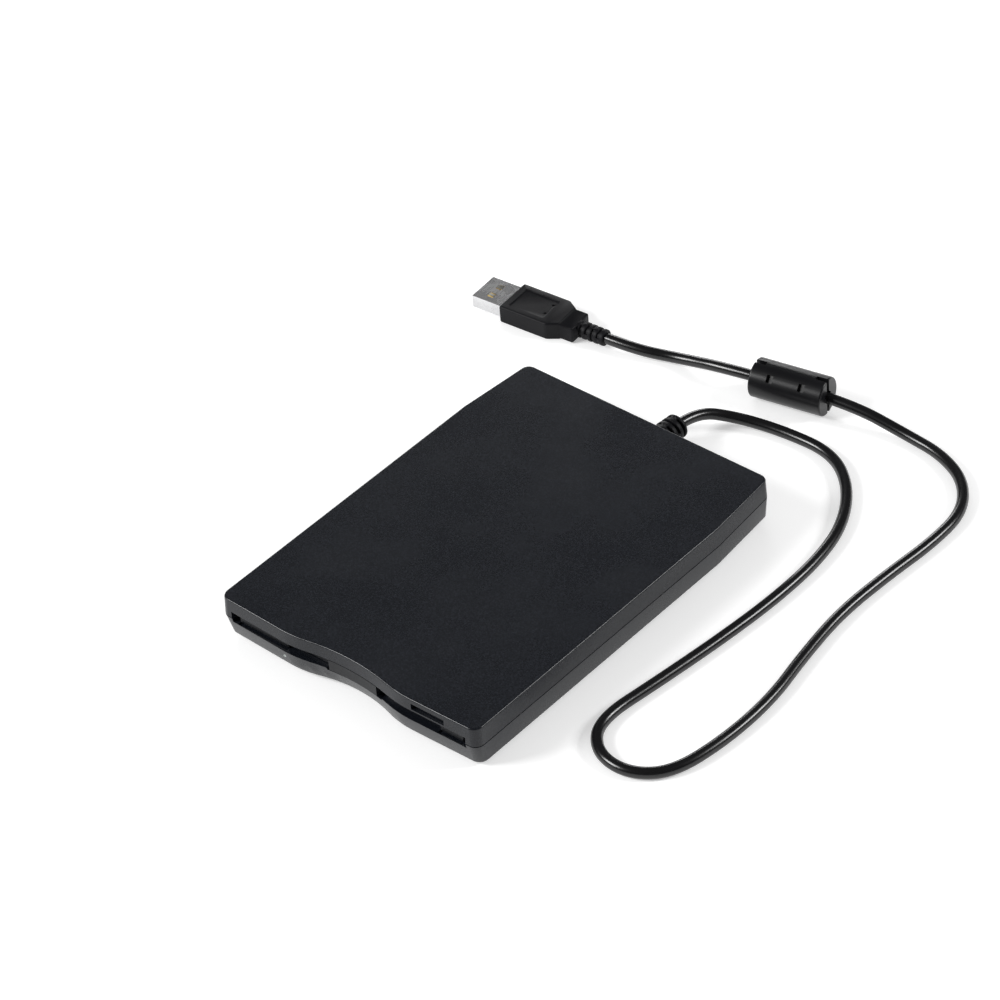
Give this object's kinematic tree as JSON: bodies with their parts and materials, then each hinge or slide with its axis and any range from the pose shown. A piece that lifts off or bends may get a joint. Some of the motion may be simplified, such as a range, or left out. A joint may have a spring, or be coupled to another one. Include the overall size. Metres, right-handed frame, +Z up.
{
  "type": "external floppy disk drive",
  "caption": "Slim portable floppy disk drive with a wavy front, flapped slot, eject key, sprung disk holder, spindle, stepped heads, and a plug cord with a ferrite bead.",
  "frame": {"origin": "on the table under the middle of the case", "axes": "+Z up; the slot faces -Y, the cord leaves towards +Y; +X is right seen from the front"},
  "size_m": [0.2017, 0.2016, 0.0166],
  "materials": {
    "case_shell": "fine-grained black plastic",
    "rubber": "matt rubber",
    "steel_screw": "zinc-plated steel",
    "flap_plastic": "smooth black plastic",
    "button_plastic": "smooth black plastic",
    "sheet_steel": "zinc-plated sheet steel",
    "shield_steel": "tinned sheet steel",
    "spring_steel": "spring wire",
    "ground_steel": "ground steel",
    "brass": "turned brass",
    "copper": "enamelled copper wire",
    "ferrite": "sintered ferrite",
    "cast_aluminium": "die-cast",
    "head_ceramic": "polished head",
    "white_plastic": "white nylon",
    "black_plastic": "moulded plastic",
    "board_green": "solder mask",
    "chip_black": "moulded package",
    "lamp": "tinted lens",
    "clear_pipe": "clear rod",
    "ribbon": "flat ribbon",
    "cord_jacket": "glossy black jacket",
    "cord_mould": "soft black moulding",
    "bead_shell": "glossy black snap shell",
    "plug_metal": "bright plated shell",
    "gold": "gold-plated contacts"
  },
  "bodies": {
    "case": {"top_cover": "case_shell", "bottom_case": "case_shell", "rubber_feet": "rubber", "case_screws": "steel_screw", "drive_screws": "steel_screw", "flap_rod": "ground_steel", "flap_spring": "spring_steel", "drive_chassis": "sheet_steel", "drive_shield": "shield_steel", "shield_screws": "steel_screw", "slide_springs": "spring_steel", "motor_board": "board_green", "stator_coils": "copper", "spindle_bearing": "brass", "guide_rods": "ground_steel", "stepper_motor": "sheet_steel", "stepper_bracket": "sheet_steel", "track_sensor": "black_plastic", "switch_board": "board_green", "switch_bodies": "black_plastic", "activity_led": "lamp", "light_pipe": "clear_pipe", "main_board": "board_green", "main_chips": "chip_black", "usb_board": "board_green", "usb_chips": "chip_black", "board_screws": "steel_screw", "ribbon_cable": "ribbon", "ribbon_sockets": "white_plastic", "cord_wires": "copper", "cord_relief": "cord_mould", "usb_cord": "cord_jacket", "bead_front": "bead_shell", "bead_rear": "bead_shell", "bead_core": "ferrite", "plug_body": "cord_mould", "plug_shell": "plug_metal", "plug_insert": "white_plastic", "plug_contacts": "gold"},
    "flap": {"slot_flap": "flap_plastic"},
    "slide": {"slide_plate": "sheet_steel", "eject_button": "button_plastic"},
    "holder": {"disk_holder": "sheet_steel", "holder_pins": "ground_steel"},
    "lever": {"shutter_lever": "sheet_steel"},
    "rotor": {"spindle_shaft": "ground_steel", "rotor_cup": "sheet_steel", "rotor_magnet": "ferrite", "spindle_hub": "ground_steel", "drive_pin": "ground_steel"},
    "carriage": {"head_carriage": "cast_aluminium", "lower_head": "head_ceramic", "arm_pin": "ground_steel", "arm_spring": "spring_steel"},
    "head_arm": {"upper_head_arm": "sheet_steel", "upper_head": "head_ceramic"},
    "screw": {"lead_screw": "ground_steel"},
    "write_protect_key": {"write_protect_plunger": "white_plastic"},
    "disk_in_key": {"disk_in_plunger": "white_plastic"},
    "density_key": {"density_plunger": "white_plastic"}
  },
  "joints": [
    {"name": "flap_hinge", "type": "hinge", "parent": "case", "child": "flap", "pos_m": [0, -0.06695, 0.0137], "axis": [1, 0, 0], "range_deg": [0, 90], "stiffness_Nm_per_rad": 0.0001, "springref_deg": -17.19},
    {"name": "eject_slide", "type": "slide", "parent": "case", "child": "slide", "axis": [0, -1, 0], "range_m": [0, 0.0045]},
    {"name": "holder_drop", "type": "slide", "parent": "case", "child": "holder", "axis": [0, 0, -1], "range_m": [0, 0.002]},
    {"name": "lever_swing", "type": "hinge", "parent": "holder", "child": "lever", "pos_m": [0.018, 0.0382, 0.0137], "axis": [0, 0, 1], "range_deg": [0, 63], "stiffness_Nm_per_rad": 0.0001, "springref_deg": -17.19},
    {"name": "spindle_spin", "type": "hinge", "parent": "case", "child": "rotor", "pos_m": [0, -0.019, 0.005], "axis": [0, 0, 1], "continuous": true},
    {"name": "head_travel", "type": "slide", "parent": "case", "child": "carriage", "axis": [0, -1, 0], "range_m": [0, 0.01481]},
    {"name": "head_arm_lower", "type": "hinge", "parent": "carriage", "child": "head_arm", "pos_m": [0, 0.047, 0.0102], "axis": [1, 0, 0], "range_deg": [0, 8]},
    {"name": "lead_screw_turn", "type": "hinge", "parent": "case", "child": "screw", "pos_m": [0.006, 0.038, 0.0076], "axis": [0, 1, 0], "range_deg": [0, 1422]},
    {"name": "write_protect_press", "type": "slide", "parent": "case", "child": "write_protect_key", "axis": [0, 0, -1], "range_m": [0, 0.0008], "stiffness_N_per_m": 100},
    {"name": "disk_in_press", "type": "slide", "parent": "case", "child": "disk_in_key", "axis": [0, 0, -1], "range_m": [0, 0.0008], "stiffness_N_per_m": 100},
    {"name": "density_press", "type": "slide", "parent": "case", "child": "density_key", "axis": [0, 0, -1], "range_m": [0, 0.0008], "stiffness_N_per_m": 100}
  ],
  "couplings": [
    {"joint": "holder_drop", "follows": "eject_slide", "ratio": 0.44444},
    {"joint": "head_arm_lower", "follows": "eject_slide", "rad_per_m": 31.027},
    {"joint": "lead_screw_turn", "follows": "head_travel", "rad_per_m": 1675.5}
  ]
}
